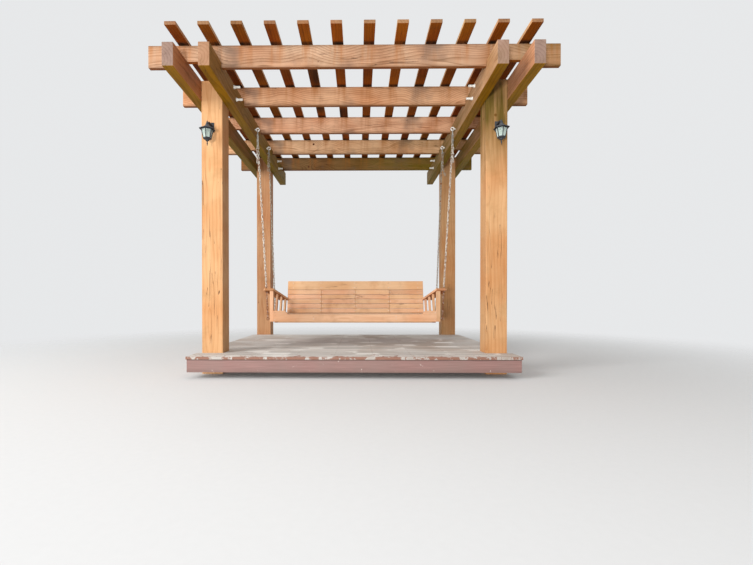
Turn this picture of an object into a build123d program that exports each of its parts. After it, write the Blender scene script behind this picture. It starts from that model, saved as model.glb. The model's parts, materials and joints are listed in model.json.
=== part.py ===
from build123d import *
from math import atan2, cos, degrees, hypot, radians, sin, tan
import os

# Timber pergola over a low deck, with a slatted bench hanging on four chains.
# Millimetres. X runs to the right, Y to the rear, Z up from the ground.
# The origin is the middle of the roof's outline, at ground level.

# Timber sizes
post_side = 190
carrier_thick, carrier_high = 89, 184
beam_thick, beam_high = 38, 184
rafter_wide, rafter_thick = 89, 28
stock = 38

# Roof
beam_past_carrier = 240
carrier_past_beam = 281
rafter_short = 10
beam_count = 5
beam_pitch = 700
rafter_count = 12
rafter_pitch = 255.5
carrier_top = 2645
notch_deep = 50
notch_play = 0.5

# Posts, as distances between their middles
post_apart_x = 2562
post_apart_y = 2086
set_back = 25

# Deck
deck_top = 190
deck_front = -1374
board_thick = 25
board_count = 16
board_gap = 5
board_nose = 8
post_play = 3
fascia_high = 110
joist_count = 8
bearer_wide = 89

# Lanterns
lantern_reach = 120
lantern_tip = 2017
lantern_brim = 2158

# Swing
eye_below_carrier_top = 107
eye_reach = 30
eye_major, eye_minor = 15, 4
eye_sides = 12
eye_half_flat = 3
wire = 7
link_play = 0.4
pivot_play = 1.2
front_links, rear_links, lower_links = 47, 57, 10
arm_hole_out = 80
arm_hole_radius = 16
chain_above_arm = 21
rear_ring_out = 95

# Bench
rail_half = 895
rail_ahead = 30
rail_bottom, rail_top, rail_ear_top = 432, 511, 552
ear_long, ear_slope = 126, 39
toe_in = 8.4
frame_high = 61
frame_hang = 12
seat_slat_thick = 20
seat_slat_count = 7
seat_slat_gap = 7.5
seat_depth = 452
support_x = (-412, 0, 412)
support_deep = 60
support_low = -62
support_short = 8
beam_clear = 23
back_rake = 12
back_in = 70
back_slat_thick = 18
back_slat_wide = 53.7
back_gap = 3.5
back_top_wide = 108
back_clear = 3
arm_thick = 25
arm_inner, arm_outer = -11, 108
arm_front_z = 797
arm_slope = 11.3
arm_ahead = 10
arm_corner = 14
slat_thick, slat_wide = 19, 38
slat_first, slat_pitch = 88, 148
slat_bottom = 445

# Sizes that follow; the chains hang plumb over the front rail and the rear beam
half_post = post_side / 2
post_x = post_apart_x / 2
front_post_y = set_back - post_apart_y / 2
rear_post_y = set_back + post_apart_y / 2
inner_face = post_x - half_post - carrier_thick
outer_face = post_x + half_post + carrier_thick
beam_length = 2 * (outer_face + beam_past_carrier)
carrier_length = (beam_count - 1) * beam_pitch + beam_thick + 2 * carrier_past_beam
rafter_length = carrier_length - 2 * rafter_short
beam_bottom = carrier_top - notch_deep
beam_top = beam_bottom + beam_high
eye_height = carrier_top - eye_below_carrier_top
back_deep = back_slat_thick + support_deep
eye_apart = stock - rail_ahead + seat_depth + back_deep + beam_clear + stock / 2
front_eye_y = set_back - eye_apart / 2
rear_eye_y = set_back + eye_apart / 2
rail_front = front_eye_y - rail_ahead
seat_front = rail_front + stock
seat_back = seat_front + seat_depth
frame_top = rail_bottom + frame_high
frame_low = rail_bottom - frame_hang
seat_top = frame_top + seat_slat_thick
beam_front = rear_eye_y - stock / 2
back_half = rail_half - back_in
bench_eye_z = rail_bottom + frame_high / 2
arm_hole_x = rail_half + arm_hole_out
rear_ring_x = rail_half + rear_ring_out
arm_top_at_hole = arm_front_z - (front_eye_y - rail_front + arm_ahead) * tan(radians(arm_slope))


def block(x0, x1, y0, y1, z0, z1):
    """A straight piece of timber between two corners."""
    middle = Pos((x0 + x1) / 2, (y0 + y1) / 2, (z0 + z1) / 2)
    return middle * Box(x1 - x0, y1 - y0, z1 - z0)


def mirrored(shape):
    """The same piece on the other side of the middle line."""
    return mirror(shape, about=Plane.YZ)


def pair(shape):
    """A piece and its mirror image."""
    return [shape, mirrored(shape)]


def save(name, solids):
    """Write one piece, or a set of like pieces that share a name."""
    node = Compound(children=solids) if isinstance(solids, list) else solids
    node.label = name
    export_step(node, f"parts/{name}.step")


def prism(points, plane, amount):
    """A straight-sided solid drawn as an outline on a plane."""
    outline = Polyline(*points, close=True)
    return extrude(plane * make_face(outline), amount)


os.makedirs("parts", exist_ok=True)

# Posts, each held between two carriers
for depth, y in (("front", front_post_y), ("rear", rear_post_y)):
    post = block(post_x - half_post, post_x + half_post, y - half_post, y + half_post, 0, carrier_top)
    save(f"{depth}_right_post", post)
    save(f"{depth}_left_post", mirrored(post))

# Carriers, bolted to the inner and outer faces of the posts
for place, x in (("inner", inner_face), ("outer", outer_face - carrier_thick)):
    reach = carrier_length / 2
    carrier = block(x, x + carrier_thick, -reach, reach, carrier_top - carrier_high, carrier_top)
    save(f"right_{place}_carrier", carrier)
    save(f"left_{place}_carrier", mirrored(carrier))

# Cross beams, notched to drop over both carriers of each pair
notch_start, notch_end = inner_face - notch_play, outer_face + notch_play
notch = block(notch_start, notch_end, -beam_thick, beam_thick, beam_bottom, carrier_top)
for number in range(beam_count):
    y = (number - (beam_count - 1) / 2) * beam_pitch
    beam = Pos(0, 0, beam_bottom + beam_high / 2) * Box(beam_length, beam_thick, beam_high)
    beam = beam - notch - mirrored(notch)
    save(f"cross_beam_{number + 1}", Pos(0, y, 0) * beam)

# Rafters, laid flat across the beams
rafters = []
rafter = Pos(0, 0, beam_top + rafter_thick / 2) * Box(rafter_wide, rafter_length, rafter_thick)
for number in range(rafter_count):
    rafters.append(Pos((number - (rafter_count - 1) / 2) * rafter_pitch, 0, 0) * rafter)
save("rafters", rafters)

# Deck frame: fascias round the outside, joists between, bearers on the ground
board_base = deck_top - board_thick
fascia_base = board_base - fascia_high
side_inner = post_x + half_post
side_outer = side_inner + stock
deck_rear = rear_post_y - half_post
frame_front = deck_front + board_nose
fascia = block(-side_outer, side_outer, 0, stock, fascia_base, board_base)
save("deck_front_fascia", Pos(0, frame_front, 0) * fascia)
save("deck_rear_fascia", Pos(0, deck_rear - stock, 0) * fascia)
side = block(side_inner, side_outer, frame_front + stock, deck_rear - stock, fascia_base, board_base)
save("deck_side_fascias", pair(side))

outer_joist = post_x - half_post - stock / 2
joist = block(-stock / 2, stock / 2, frame_front + stock, deck_rear - stock, fascia_base, board_base)
joists = []
for number in range(joist_count):
    joists.append(Pos(-outer_joist + 2 * outer_joist * number / (joist_count - 1), 0, 0) * joist)
save("deck_joists", joists)

bearers = []
for share in (0.16, 0.5, 0.84):
    y = frame_front + share * (deck_rear - frame_front)
    reach = outer_joist + stock / 2
    bearers.append(block(-reach, reach, y - bearer_wide / 2, y + bearer_wide / 2, 0, fascia_base))
save("deck_bearers", bearers)

# Deck boards, cut short where the front posts come up through them
board_wide = (deck_rear - deck_front - (board_count - 1) * board_gap) / board_count
board_end = side_outer + board_nose
post_cut = block(post_x - half_post - post_play, board_end + 1, front_post_y - half_post - post_play,
                 front_post_y + half_post + post_play, board_base - 1, deck_top + 1)
boards = []
for number in range(board_count):
    y = deck_front + number * (board_wide + board_gap)
    board = block(-board_end, board_end, y, y + board_wide, board_base, deck_top)
    boards.append(board - post_cut - mirrored(post_cut))
save("deck_boards", boards)


# Lanterns: a six-sided tapered case under a flared roof, on a bracket
def taper(low_radius, low, high_radius, high):
    """A six-sided tapered block with a flat panel towards the front, drawn from its wide end."""
    wide_end, narrow_end = max(low_radius, high_radius), min(low_radius, high_radius)
    tall = high - low
    lean = degrees(atan2((wide_end - narrow_end) * cos(radians(30)), tall))
    body = extrude(RegularPolygon(wide_end, 6), tall, taper=lean)
    return Pos(0, 0, low) * body if low_radius > high_radius else Pos(0, 0, high) * Rot(180, 0, 0) * body


glass_top, glass_base = 50, 33
bar = 5
case_height = 80
case_base = lantern_brim - case_height
cap_base = case_base - 20
eaves, apex = lantern_brim + 8, lantern_brim + 48
roof = taper(76, lantern_brim, 70, eaves) + taper(70, eaves, 16, apex)
roof += taper(9, apex, 3, apex + 34)
cap = taper(17, cap_base, glass_base + 3, case_base)
finial = taper(2, lantern_tip, 6, cap_base)
frame = roof + cap + finial
bar_lean = (glass_top - glass_base, 0, case_height)
for corner in range(6):
    foot = Pos(glass_base, 0, case_base) * Rectangle(bar, bar)
    frame += Rot(0, 0, 60 * corner) * extrude(foot, Vector(bar_lean).length, dir=bar_lean)
plate_thick = 8
bracket_base, bracket_top = apex - 10, apex + 32
bracket = block(-10, 10, 0, lantern_reach - plate_thick, bracket_base, bracket_top)
plate = block(-16, 16, lantern_reach - plate_thick, lantern_reach, bracket_base - 10, bracket_top + 10)
lantern_y = front_post_y - half_post - lantern_reach
lantern = Pos(post_x, lantern_y, 0) * (frame + bracket + plate)
save("right_lantern", lantern)
save("left_lantern", mirrored(lantern))

inset = bar + 0.3
pane_top, pane_base = glass_top - inset, glass_base - inset
glass = taper(pane_base, case_base, pane_top, lantern_brim)
glass -= taper(pane_base - 3, case_base, pane_top - 3, lantern_brim)
save("lantern_glass", pair(Pos(post_x, lantern_y, 0) * glass))


# Eye bolts
def eye_bolt():
    """An eye on a threaded shank, standing out along X from a washer on a face."""
    washer = extrude(Plane.YZ * RegularPolygon(13, 12), 3)
    shank = extrude(Plane.YZ * RegularPolygon(eye_minor, 8), eye_reach - eye_major)
    turn = 180 / eye_sides
    outer = RegularPolygon(eye_major + eye_minor, eye_sides, major_radius=False, rotation=turn)
    inner = RegularPolygon(eye_major - eye_minor, eye_sides, major_radius=False, rotation=turn)
    ring = extrude(Plane.XZ * (outer - inner), eye_half_flat, both=True)
    return washer + shank + Pos(eye_reach, 0, 0) * ring


eye = eye_bolt()
roof_eyes = []
for y in (front_eye_y, rear_eye_y):
    roof_eyes += pair(Pos(inner_face, y, eye_height) * Rot(0, 0, 180) * eye)
save("roof_eye_bolts", roof_eyes)


# Chains: long links, every second one turned a quarter turn
def chain_link(pitch):
    """A link along Z in the XZ plane, as a six-sided ring of square wire."""
    half = (pitch + link_play) / 2
    inner = [(5.5, half), (-5.5, half), (-6.8, 0), (-5.5, -half), (5.5, -half), (6.8, 0)]
    end = half + wire
    outer = [(10.5, end), (-10.5, end), (-13.4, 0), (-10.5, -end), (10.5, -end), (13.4, 0)]
    ring = make_face(Polyline(*outer, close=True)) - make_face(Polyline(*inner, close=True))
    return extrude(Plane.XZ * ring, wire / 2, both=True)


def strand(top, bottom, count, over_top, under_bottom, first_turn):
    """A hanging chain between the middles of the two wires that it bears on."""
    run_x, run_z = top[0] - bottom[0], top[2] - bottom[2]
    length = hypot(run_x, run_z)
    pitch = (length + over_top + under_bottom - link_play) / count
    link = chain_link(pitch)
    lean = Pos(*top) * Rot(0, degrees(atan2(run_x, run_z)), 0)
    first = (pitch + link_play) / 2 - over_top
    links = []
    for number in range(count):
        turn = first_turn + 90 * number
        links.append(lean * Pos(0, 0, -first - number * pitch) * Rot(0, 0, turn) * link)
    return links


def both_sides(links):
    """A chain and its mirror image, as one list of links."""
    return links + [mirrored(link) for link in links]


eye_wire_x = inner_face - eye_reach
eye_wire_z = eye_height - eye_major
front_pivot_z = arm_top_at_hole + chain_above_arm
ring_bearing = eye_minor + pivot_play
link_bearing = wire / 2 + pivot_play
front_top = (eye_wire_x, front_eye_y, eye_wire_z)
front_low = (arm_hole_x, front_eye_y, front_pivot_z)
save("front_chains", both_sides(strand(front_top, front_low, front_links, ring_bearing, link_bearing, 90)))

rear_top = (eye_wire_x, rear_eye_y, eye_wire_z)
rear_low = (rear_ring_x, rear_eye_y, bench_eye_z + eye_major)
save("rear_chains", both_sides(strand(rear_top, rear_low, rear_links, ring_bearing, ring_bearing, 90)))

# Bench sides: everything on a side follows one line that toes in towards the rear
side_line = Pos(rail_half, rail_front, 0) * Rot(0, 0, toe_in)
far = 1.5 * (beam_front - rail_front)
wide = 2 * rail_half
plan_rear = rail_half - far * tan(radians(toe_in))
plan_points = [(-rail_half, rail_front), (rail_half, rail_front),
               (plan_rear, rail_front + far), (-plan_rear, rail_front + far)]
plan = Pos(0, 0, rail_bottom) * prism(plan_points, Plane.XY, 2 * (rail_ear_top - rail_bottom))

ear_end = rail_half - ear_long
rail_points = [(-rail_half, rail_bottom), (rail_half, rail_bottom), (rail_half, rail_ear_top),
               (ear_end, rail_ear_top), (ear_end - ear_slope, rail_top),
               (ear_slope - ear_end, rail_top), (-ear_end, rail_ear_top), (-rail_half, rail_ear_top)]
rail = Pos(0, rail_front + stock, 0) * prism(rail_points, Plane.XZ, stock)
save("bench_front_rail", rail & plan)

side_rail = side_line * block(-stock, 0, 0, far, frame_low, frame_top)
between = block(-rail_half, rail_half, seat_front, beam_front, frame_low, frame_top)
save("bench_side_rails", pair(side_rail & between))

beam_half = rail_half - stock / cos(radians(toe_in)) - 2 * stock * tan(radians(toe_in))
joist_front = seat_front + stock
save("bench_front_beam", block(-beam_half, beam_half, seat_front, joist_front, frame_low, frame_top))

joists = []
for spot in support_x:
    x = spot + stock if spot >= 0 else spot - stock
    joists.append(block(x - stock / 2, x + stock / 2, joist_front, beam_front, frame_low, frame_top))
save("bench_joists", joists)

beam_end = rear_ring_x - eye_reach
save("bench_rear_beam", block(-beam_end, beam_end, beam_front, beam_front + stock, frame_low, frame_top))

seat_wide = (seat_depth - (seat_slat_count - 1) * seat_slat_gap) / seat_slat_count
slats = []
for number in range(seat_slat_count):
    y = seat_front + number * (seat_wide + seat_slat_gap)
    slats.append(block(-rail_half, rail_half, y, y + seat_wide, frame_top, seat_top) & plan)
save("bench_seat_slats", slats)

# Bench back, leaning on supports that stand beside the joists
rake = Pos(0, seat_back, seat_top) * Rot(-back_rake, 0, 0)
back_rows = [back_slat_wide] * 5 + [back_top_wide]
back_high = back_clear + sum(back_rows) + 5 * back_gap
support_rear = seat_back + back_deep
rail_inner = rail_half - (support_rear - rail_front) * tan(radians(toe_in)) - stock / cos(radians(toe_in))
end_support = rail_inner - stock / 2
support = block(-stock / 2, stock / 2, back_slat_thick, back_deep, support_low, back_high - support_short)
supports = []
for x in (-end_support, *support_x, end_support):
    supports.append(rake * Pos(x, 0, 0) * support)
save("bench_back_supports", supports)

back_slats = []
z = back_clear
for row in back_rows:
    back_slats.append(rake * block(-back_half, back_half, 0, back_slat_thick, z, z + row))
    z += row + back_gap
save("bench_back_slats", back_slats)

# Bench arms, sloping down to the back and scribed to its rake
arm_level = side_line * Pos(0, -arm_ahead, arm_front_z) * Rot(-arm_slope, 0, 0)
behind_back = rake * block(-wide, wide, 0, far, -far, far)
above_arm = arm_level * block(-far, far, -far, 2 * far, -arm_thick, far)
arm_points = [(arm_inner, 0), (arm_outer - arm_corner, 0), (arm_outer, arm_corner),
              (arm_outer, far), (arm_inner, far)]
arm = arm_level * Pos(0, 0, -arm_thick) * prism(arm_points, Plane.XY, arm_thick)
hole = Pos(arm_hole_x, front_eye_y, arm_top_at_hole) * Cylinder(arm_hole_radius, 4 * arm_thick)
arm = arm - behind_back - hole
save("bench_right_arm", arm)
save("bench_left_arm", mirrored(arm))

# Under each arm, a plumb front upright and three slats that lean back as the bench back does
slat_lean = (arm_front_z - slat_bottom) * tan(radians(back_rake))
slat_points = [(0, slat_bottom), (slat_wide, slat_bottom),
               (slat_wide + slat_lean, arm_front_z), (slat_lean, arm_front_z)]
uprights = [side_line * block(0, stock, 0, stock, rail_bottom, arm_front_z)]
for number in range(3):
    foot = slat_first + number * slat_pitch
    uprights.append(side_line * Pos(0, foot, 0) * prism(slat_points, Plane.YZ, slat_thick))
uprights = [upright - above_arm for upright in uprights]
save("bench_right_uprights", uprights)
save("bench_left_uprights", [mirrored(upright) for upright in uprights])

# Bench fittings: eyes at the front uprights and at the ends of the rear beam
eye_along = (rail_ahead - (stock + eye_reach) * sin(radians(toe_in))) / cos(radians(toe_in))
front_eye = side_line * Pos(stock, eye_along, bench_eye_z) * eye
rear_eye = Pos(beam_end, rear_eye_y, bench_eye_z) * eye
save("bench_eye_bolts", pair(front_eye) + pair(rear_eye))

front_ring = side_line * Pos(stock + eye_reach, eye_along, bench_eye_z)
front_foot = (front_ring.position.X, front_eye_y, bench_eye_z + eye_major)
save("bench_arm_chains", both_sides(strand(front_low, front_foot, lower_links, -wire / 2, ring_bearing, 0)))

print("front chain", round(front_top[2] - front_low[2], 1), "rear chain", round(rear_top[2] - rear_low[2], 1))
print("front pivot", front_low, "rear pivot", rear_low, "front ring", front_foot)
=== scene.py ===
# %% [markdown]
# # A timber pergola with a hanging bench
# The construction comes in as a fixed model, one object for each timber. This lesson gives every
# piece its finish, and adds what a joiner would add last: round wire in the chains, bolts,
# screws, the real lanterns and the boards of the bench back.
# Everything is in metres, with X to the right, Y to the rear and Z up from the ground.

# %% Load the fixed model
import json
from math import cos, pi, radians, tan

import bmesh
import bpy
from mathutils import Matrix, Vector


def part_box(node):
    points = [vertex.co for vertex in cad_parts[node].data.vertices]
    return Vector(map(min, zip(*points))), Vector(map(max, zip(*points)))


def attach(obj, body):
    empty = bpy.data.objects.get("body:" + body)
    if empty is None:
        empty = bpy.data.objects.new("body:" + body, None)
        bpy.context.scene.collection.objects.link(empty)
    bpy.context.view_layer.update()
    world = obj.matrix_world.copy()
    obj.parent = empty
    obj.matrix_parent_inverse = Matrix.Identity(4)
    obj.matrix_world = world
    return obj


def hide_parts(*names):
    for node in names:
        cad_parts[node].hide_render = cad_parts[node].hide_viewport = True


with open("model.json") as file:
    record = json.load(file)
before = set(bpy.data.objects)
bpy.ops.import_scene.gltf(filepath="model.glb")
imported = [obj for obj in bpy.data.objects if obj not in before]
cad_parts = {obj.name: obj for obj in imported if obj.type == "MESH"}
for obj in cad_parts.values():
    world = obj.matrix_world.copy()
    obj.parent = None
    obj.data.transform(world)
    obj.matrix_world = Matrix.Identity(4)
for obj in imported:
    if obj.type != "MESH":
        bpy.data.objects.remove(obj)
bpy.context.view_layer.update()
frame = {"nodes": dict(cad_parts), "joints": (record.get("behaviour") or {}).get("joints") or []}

# %% [markdown]
# ## Camera
# The photograph was taken from a little above knee height with a wide lens, nearly square to
# the front.
# Its place and lens were worked out from the corners of the beams. A wide lens near the object
# makes the roof rear up, so the same lens is needed, not only the same direction.

# %% Camera
IMAGE_WIDE = 753
LENS_PIXELS = 428.5
VIEW_CENTRE = (354.7, 303.6)
IMAGE_CENTRE = (376.5, 282.5)
camera_data = bpy.data.cameras.new("front_view")
camera_data.sensor_width = 36
camera_data.lens = 36 * LENS_PIXELS / IMAGE_WIDE
camera_data.shift_x = (IMAGE_CENTRE[0] - VIEW_CENTRE[0]) / IMAGE_WIDE
camera_data.shift_y = (VIEW_CENTRE[1] - IMAGE_CENTRE[1]) / IMAGE_WIDE
camera = bpy.data.objects.new("front_view", camera_data)
camera.location = (0.0494, -4.975, 0.665)
camera.rotation_euler = (radians(90) - 0.0075, 0, 0.011)
bpy.context.collection.objects.link(camera)
bpy.context.scene.camera = camera
print("lens", round(camera_data.lens, 2), "mm")

# %% [markdown]
# ## Helpers for colours and nodes
# Paint charts and photographs give colours as sRGB hex codes, but shader sockets hold linear
# light, so one function converts them. A second one adds a node, sets it up and wires its
# inputs, which keeps each material readable from top to bottom. The others hold a few nodes
# that always go together: coats of colour laid over each other, noise drawn out along the grain,
# patches of noise, and the end of every opaque material.
# Some inputs go by number. A Map Range takes its value at 0, the range that it reads at 1 and 2
# and the range that it gives at 3 and 4, and a Mix takes its two colours at 6 and 7.

# %% Colour and node helpers
MM = 0.001
SMOOTH = {"interpolation_type": "SMOOTHSTEP"}
OPERATIONS = ("ADD", "SUBTRACT", "MULTIPLY", "DIVIDE", "MULTIPLY_ADD")
ADD, SUBTRACT, MULTIPLY, DIVIDE, MULTIPLY_ADD = ({"operation": name} for name in OPERATIONS)


def colour(code):
    """The linear colour of an sRGB hex code such as #C88F60."""
    parts = [int(code[i:i + 2], 16) / 255 for i in (1, 3, 5)]
    return (*[c / 12.92 if c <= 0.04045 else ((c + 0.055) / 1.055) ** 2.4 for c in parts], 1.0)


def add(tree, kind, settings=None, inputs=None, out=0):
    """Add one node; each input takes a value or another node's output. Returns an output."""
    new = tree.nodes.new("ShaderNode" + kind)
    for name, value in (settings or {}).items():
        setattr(new, name, value)
    for name, value in (inputs or {}).items():
        if isinstance(value, bpy.types.NodeSocket):
            tree.links.new(value, new.inputs[name])
        else:
            new.inputs[name].default_value = value
    return new.outputs[out] if new.outputs else None


def new_material(name):
    """An empty material, its node tree, and each point's place on the object."""
    material = bpy.data.materials.new(name)
    material.use_nodes = True
    material.node_tree.nodes.clear()
    return material, material.node_tree, add(material.node_tree, "TexCoord", out="Object")


def lay_over(tree, base, *coats):
    """Lay coats of colour over a base: each is how much of it shows, and its hex code or colour."""
    for amount, coat in coats:
        coat = colour(coat) if isinstance(coat, str) else coat
        base = add(tree, "Mix", {"data_type": "RGBA"}, {"Factor": amount, 6: base, 7: coat}, out=2)
    return base


def stretched_noise(tree, place, scale, detail, roughness=0.5):
    """Noise with its own scale along each axis, drawn out as grain and streaks are."""
    place = add(tree, "Mapping", None, {"Vector": place, "Scale": scale})
    inputs = {"Vector": place, "Scale": 1.0, "Detail": detail, "Roughness": roughness}
    return add(tree, "TexNoise", None, inputs)


def patches(tree, place, scale, detail, low, high, most=1.0, roughness=0.5):
    """Patches of noise: nothing below one level of it, and the most above another."""
    inputs = {"Vector": place, "Scale": scale, "Detail": detail, "Roughness": roughness}
    noise = add(tree, "TexNoise", None, inputs)
    return add(tree, "MapRange", None, {0: noise, 1: low, 2: high, 3: 0.0, 4: most})


def finish_solid(tree, base, rough, height, strength, depth_mm, more=None):
    """End an opaque material: bump from a height, the shader and the output."""
    bump = add(tree, "Bump", None, {"Strength": strength, "Distance": depth_mm * MM, "Height": height})
    inputs = {"Base Color": base, "Roughness": rough, "Normal": bump, **(more or {})}
    shader = add(tree, "BsdfPrincipled", None, inputs)
    add(tree, "OutputMaterial", inputs={"Surface": shader})


print("oil stain as linear light:", [round(v, 3) for v in colour("#C88F60")])

# %% [markdown]
# ## The figure of softwood
# All the timber is fir or cedar, sawn into boards.
# - The ring figure is the distance from the tree's pith, a line that wanders nearer to each
#   board and away again. Cutting through it makes the long arches on the beams.
# - Knots are spots that push the rings aside. Checks are thin cracks along the grain.
# Real rings are 2 to 6 mm apart, too fine for this view, so they are drawn 12 to 30 mm apart.

# %% Boards, knots, rings and checks
AXES = {"X": (0, 1, 2), "Y": (1, 0, 2), "Z": (2, 0, 1)}
RUN_SHIFT, SIDE_SHIFT, DEEP_SHIFT = 9.0, 0.09, 0.05


def number_boards(tree, place, row, seed):
    """For boards in a row: the place within one board, and three random values for it."""
    start, pitch = row
    moved = add(tree, "Math", SUBTRACT, {0: place, 1: start})
    counted = add(tree, "Math", DIVIDE, {0: moved, 1: pitch})
    number = add(tree, "Math", {"operation": "FLOOR"}, {0: counted})
    within = add(tree, "Math", SUBTRACT, {0: counted, 1: number})
    within = add(tree, "Math", MULTIPLY_ADD, {0: within, 1: pitch, 2: -pitch / 2})
    label = add(tree, "Math", ADD, {0: number, 1: seed})
    chance = add(tree, "TexWhiteNoise", {"noise_dimensions": "1D"}, {"W": label}, out="Color")
    return within, chance


def knots_in(tree, run, side, deep, knots_mm):
    """Knots, as spots on a flat pattern that goes through the board, and how they push the rings."""
    across = add(tree, "Math", ADD, {0: side, 1: deep})
    flat = add(tree, "CombineXYZ", inputs={0: run, 1: across, 2: 0.0})
    cells = {"Vector": flat, "Scale": 1000 / knots_mm, "Randomness": 0.95}
    spots = add(tree, "TexVoronoi", {"voronoi_dimensions": "2D"}, cells).node.outputs
    away = add(tree, "Math", MULTIPLY, {0: spots["Distance"], 1: knots_mm * MM})
    kind = add(tree, "SeparateXYZ", inputs={0: spots["Color"]})
    size = add(tree, "MapRange", None, {0: kind, 1: 0.45, 2: 1.0, 3: 0.0005, 4: 0.017})
    share = add(tree, "Math", DIVIDE, {0: away, 1: size})
    knot = add(tree, "MapRange", SMOOTH, {0: share, 1: 1.0, 2: 0.55, 3: 0.0, 4: 1.0})
    swirl = add(tree, "MapRange", SMOOTH, {0: away, 1: 0.13, 2: 0.0, 3: 0.0, 4: 2.2})
    return knot, add(tree, "Math", MULTIPLY, {0: swirl, 1: size})


def growth_rings(tree, grain, run, side, deep, swirl, rings_mm, arch):
    """Dark late wood by the distance from the pith, in waves that rise slowly and end sharply."""
    sway = add(tree, "Math", MULTIPLY, {0: run, 1: 1.4})
    sway = add(tree, "TexNoise", {"noise_dimensions": "1D"}, {"W": sway, "Scale": 1.0, "Detail": 1.0})
    pith = add(tree, "Math", MULTIPLY_ADD, {0: sway, 1: arch, 2: deep})
    pith = add(tree, "Math", SUBTRACT, {0: pith, 1: arch / 2})
    bend = stretched_noise(tree, grain, (1.1, 4.0, 4.0), 2.0, 0.45)
    bend = add(tree, "Math", MULTIPLY, {0: bend, 1: 0.08})
    radius = add(tree, "CombineXYZ", inputs={0: 0.0, 1: side, 2: pith})
    radius = add(tree, "VectorMath", {"operation": "LENGTH"}, {0: radius}, out="Value")
    for shift in (bend, swirl):
        radius = add(tree, "Math", ADD, {0: radius, 1: shift})
    count = add(tree, "Math", DIVIDE, {0: radius, 1: rings_mm * MM})
    count = add(tree, "Math", {"operation": "FRACT"}, {0: count})
    band = add(tree, "ValToRGB", None, {0: count})
    ramp = band.node.color_ramp
    ramp.elements[0].color = (0, 0, 0, 1)
    ramp.elements[1].position = 0.99
    ramp.elements[1].color = (0, 0, 0, 1)
    for position, level in ((0.45, 0.10), (0.78, 0.50), (0.90, 1.0)):
        ramp.elements.new(position).color = (level, level, level, 1)
    return band


def checks_along(tree, grain):
    """Cracks: the thin line where a drawn-out noise passes its middle, open only in places."""
    line = stretched_noise(tree, grain, (1.2, 34.0, 34.0), 1.0)
    line = add(tree, "Math", {"operation": "COMPARE"}, {0: line, 1: 0.5, 2: 0.006})
    open_part = stretched_noise(tree, grain, (0.9, 9.0, 9.0), 1.0)
    open_part = add(tree, "MapRange", None, {0: open_part, 1: 0.56, 2: 0.64, 3: 0.0, 4: 0.7})
    return add(tree, "Math", MULTIPLY, {0: line, 1: open_part})


print("boards start up to", RUN_SHIFT, "m apart along the tree")

# %% [markdown]
# ## Stained softwood
# The sawn timber was brushed with a coloured oil stain, which soaks in and leaves no film, so
# the surface stays matt. The stain fades to tan where the weather reaches it, goes grey on top,
# stays deep orange underneath and soaks darker into the ends. On the rafters the under tones are
# set darker still as painted shade, and on the bench the top tones paler as painted sunlight. The
# face's own direction chooses between them, and the rings, fibres and streaks choose between each
# part's two tones.

# %% Timber material
CRACK_BROWN = "#2C170C"


def stain_by_face(tree, stain, facing, end_axis, shade):
    """The stain on the sides, underside, top and ends, and how far a face looks down."""
    turned = add(tree, "SeparateXYZ", inputs={0: facing}).node.outputs
    down = add(tree, "MapRange", None, {0: turned[2], 1: -0.4, 2: -0.8})
    up = add(tree, "MapRange", None, {0: turned[2], 1: 0.4, 2: 0.8})
    cut = add(tree, "Math", {"operation": "ABSOLUTE"}, {0: turned[end_axis]})
    cut = add(tree, "MapRange", None, {0: cut, 1: 0.6, 2: 0.8})
    # The under tones hold painted shade on the rafters, and the top tones painted sunlight on the bench
    tones = [lay_over(tree, colour(stain["face"][tone]), (down, stain["under"][tone]),
                      (up, stain["top"][tone]), (cut, stain["end"][tone])) for tone in (0, 1)]
    return lay_over(tree, tones[0], (shade, tones[1])), down


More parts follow.
